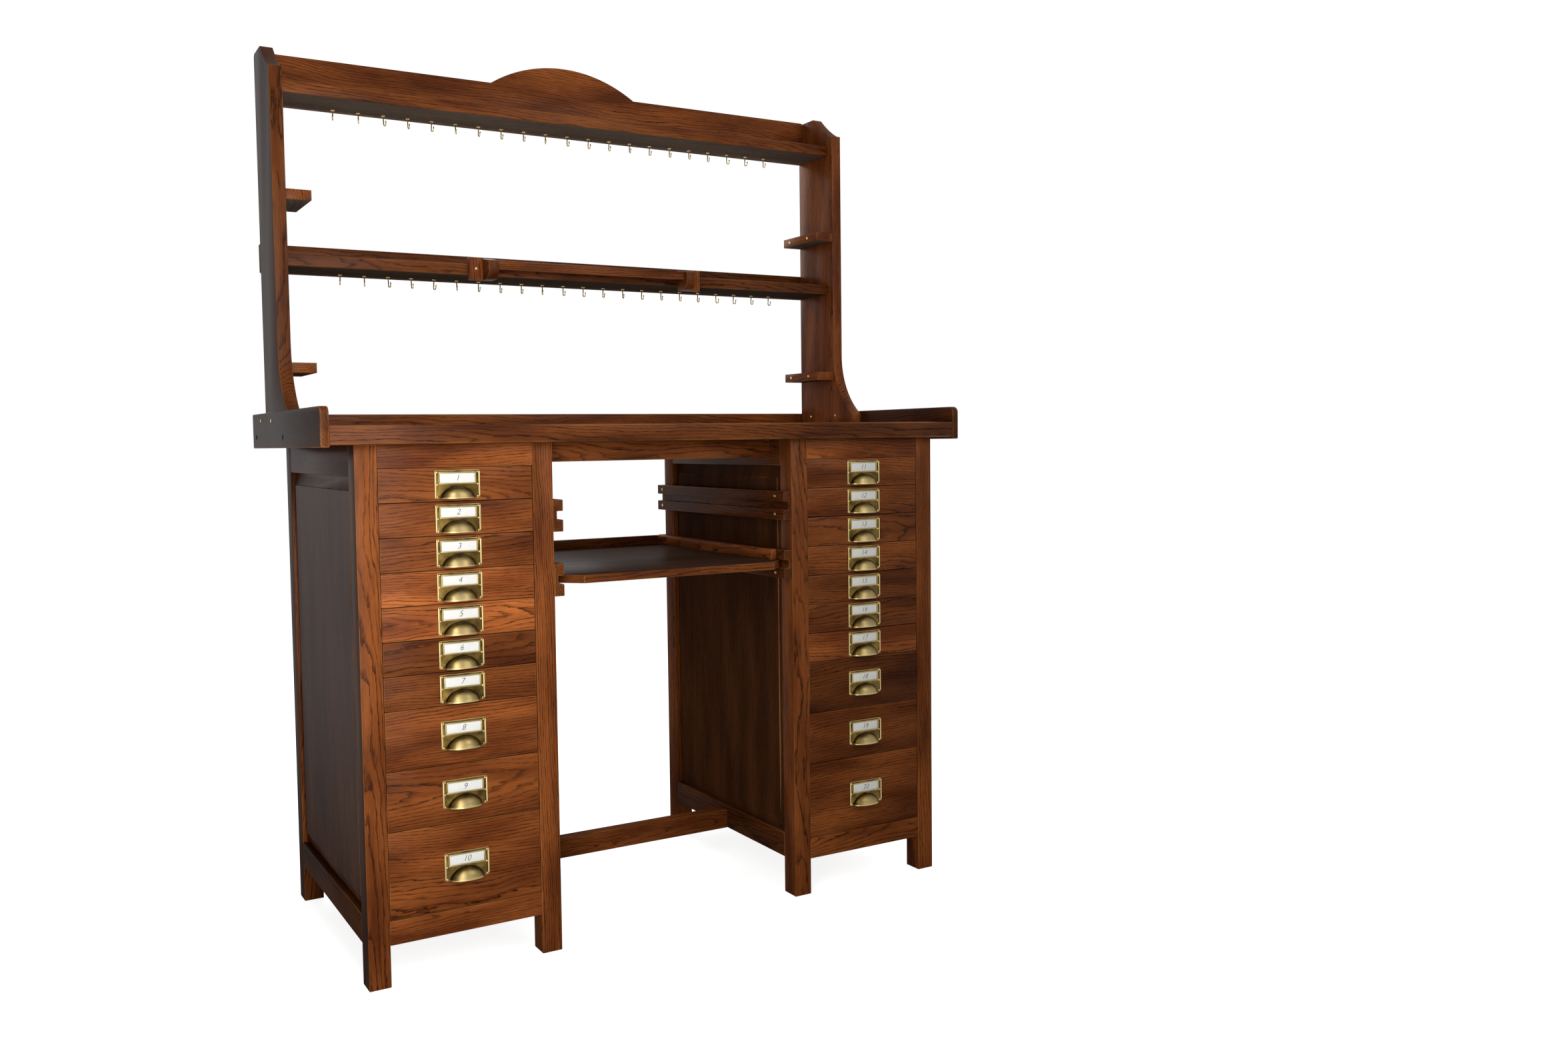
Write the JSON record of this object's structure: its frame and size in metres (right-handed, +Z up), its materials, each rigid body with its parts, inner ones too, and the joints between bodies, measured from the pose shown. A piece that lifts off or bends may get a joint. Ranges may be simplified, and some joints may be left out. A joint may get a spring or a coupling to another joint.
{
  "type": "jewelers bench",
  "caption": "Stained oak jeweller's bench with two drawer pedestals, cup pulls, a kneehole with a catch tray on runners, and a gallery of shelves with hooks and a plier rail.",
  "frame": {"origin": "on the floor below the middle of the worktop", "axes": "+Z up, +Y towards the rear, +X to the right of a person who faces the front"},
  "size_m": [1.358, 0.613, 1.7838],
  "materials": {
    "oak": "dark stained open-grained oak with a satin varnish",
    "dark_oak": "darker stained oak inside the kneehole",
    "brass": "aged brass with rubbed edges"
  },
  "bodies": {
    "bench": {"worktop": "oak", "left_end_board": "oak", "right_end_board": "oak", "back_board": "oak", "left_upright": "oak", "right_upright": "oak", "middle_shelf": "oak", "top_shelf": "oak", "crest_board": "oak", "middle_back_rail": "oak", "plier_rail": "oak", "left_pedestal_frame": "oak", "right_pedestal_frame": "oak", "left_outer_panel": "oak", "left_inner_panel": "dark_oak", "right_outer_panel": "oak", "right_inner_panel": "dark_oak", "kneehole_apron": "oak", "stretcher": "oak"},
    "catch_tray": {"catch_tray": "dark_oak"},
    "drawer_01": {"drawer_01": "oak", "pull_01": "brass"},
    "drawer_02": {"drawer_02": "oak", "pull_02": "brass"},
    "drawer_03": {"drawer_03": "oak", "pull_03": "brass"},
    "drawer_04": {"drawer_04": "oak", "pull_04": "brass"},
    "drawer_05": {"drawer_05": "oak", "pull_05": "brass"},
    "drawer_06": {"drawer_06": "oak", "pull_06": "brass"},
    "drawer_07": {"drawer_07": "oak", "pull_07": "brass"},
    "drawer_08": {"drawer_08": "oak", "pull_08": "brass"},
    "drawer_09": {"drawer_09": "oak", "pull_09": "brass"},
    "drawer_10": {"drawer_10": "oak", "pull_10": "brass"},
    "drawer_11": {"drawer_11": "oak", "pull_11": "brass"},
    "drawer_12": {"drawer_12": "oak", "pull_12": "brass"},
    "drawer_13": {"drawer_13": "oak", "pull_13": "brass"},
    "drawer_14": {"drawer_14": "oak", "pull_14": "brass"},
    "drawer_15": {"drawer_15": "oak", "pull_15": "brass"},
    "drawer_16": {"drawer_16": "oak", "pull_16": "brass"},
    "drawer_17": {"drawer_17": "oak", "pull_17": "brass"},
    "drawer_18": {"drawer_18": "oak", "pull_18": "brass"},
    "drawer_19": {"drawer_19": "oak", "pull_19": "brass"},
    "drawer_20": {"drawer_20": "oak", "pull_20": "brass"}
  },
  "joints": [
    {"name": "catch_tray_slide", "type": "slide", "parent": "bench", "child": "catch_tray", "axis": [0, -1, 0], "range_m": [0, 0.3]},
    {"name": "drawer_01_slide", "type": "slide", "parent": "bench", "child": "drawer_01", "axis": [0, -1, 0], "range_m": [0, 0.35]},
    {"name": "drawer_02_slide", "type": "slide", "parent": "bench", "child": "drawer_02", "axis": [0, -1, 0], "range_m": [0, 0.35]},
    {"name": "drawer_03_slide", "type": "slide", "parent": "bench", "child": "drawer_03", "axis": [0, -1, 0], "range_m": [0, 0.35]},
    {"name": "drawer_04_slide", "type": "slide", "parent": "bench", "child": "drawer_04", "axis": [0, -1, 0], "range_m": [0, 0.35]},
    {"name": "drawer_05_slide", "type": "slide", "parent": "bench", "child": "drawer_05", "axis": [0, -1, 0], "range_m": [0, 0.35]},
    {"name": "drawer_06_slide", "type": "slide", "parent": "bench", "child": "drawer_06", "axis": [0, -1, 0], "range_m": [0, 0.35]},
    {"name": "drawer_07_slide", "type": "slide", "parent": "bench", "child": "drawer_07", "axis": [0, -1, 0], "range_m": [0, 0.35]},
    {"name": "drawer_08_slide", "type": "slide", "parent": "bench", "child": "drawer_08", "axis": [0, -1, 0], "range_m": [0, 0.35]},
    {"name": "drawer_09_slide", "type": "slide", "parent": "bench", "child": "drawer_09", "axis": [0, -1, 0], "range_m": [0, 0.35]},
    {"name": "drawer_10_slide", "type": "slide", "parent": "bench", "child": "drawer_10", "axis": [0, -1, 0], "range_m": [0, 0.35]},
    {"name": "drawer_11_slide", "type": "slide", "parent": "bench", "child": "drawer_11", "axis": [0, -1, 0], "range_m": [0, 0.35]},
    {"name": "drawer_12_slide", "type": "slide", "parent": "bench", "child": "drawer_12", "axis": [0, -1, 0], "range_m": [0, 0.35]},
    {"name": "drawer_13_slide", "type": "slide", "parent": "bench", "child": "drawer_13", "axis": [0, -1, 0], "range_m": [0, 0.35]},
    {"name": "drawer_14_slide", "type": "slide", "parent": "bench", "child": "drawer_14", "axis": [0, -1, 0], "range_m": [0, 0.35]},
    {"name": "drawer_15_slide", "type": "slide", "parent": "bench", "child": "drawer_15", "axis": [0, -1, 0], "range_m": [0, 0.35]},
    {"name": "drawer_16_slide", "type": "slide", "parent": "bench", "child": "drawer_16", "axis": [0, -1, 0], "range_m": [0, 0.35]},
    {"name": "drawer_17_slide", "type": "slide", "parent": "bench", "child": "drawer_17", "axis": [0, -1, 0], "range_m": [0, 0.35]},
    {"name": "drawer_18_slide", "type": "slide", "parent": "bench", "child": "drawer_18", "axis": [0, -1, 0], "range_m": [0, 0.35]},
    {"name": "drawer_19_slide", "type": "slide", "parent": "bench", "child": "drawer_19", "axis": [0, -1, 0], "range_m": [0, 0.35]},
    {"name": "drawer_20_slide", "type": "slide", "parent": "bench", "child": "drawer_20", "axis": [0, -1, 0], "range_m": [0, 0.35]}
  ]
}
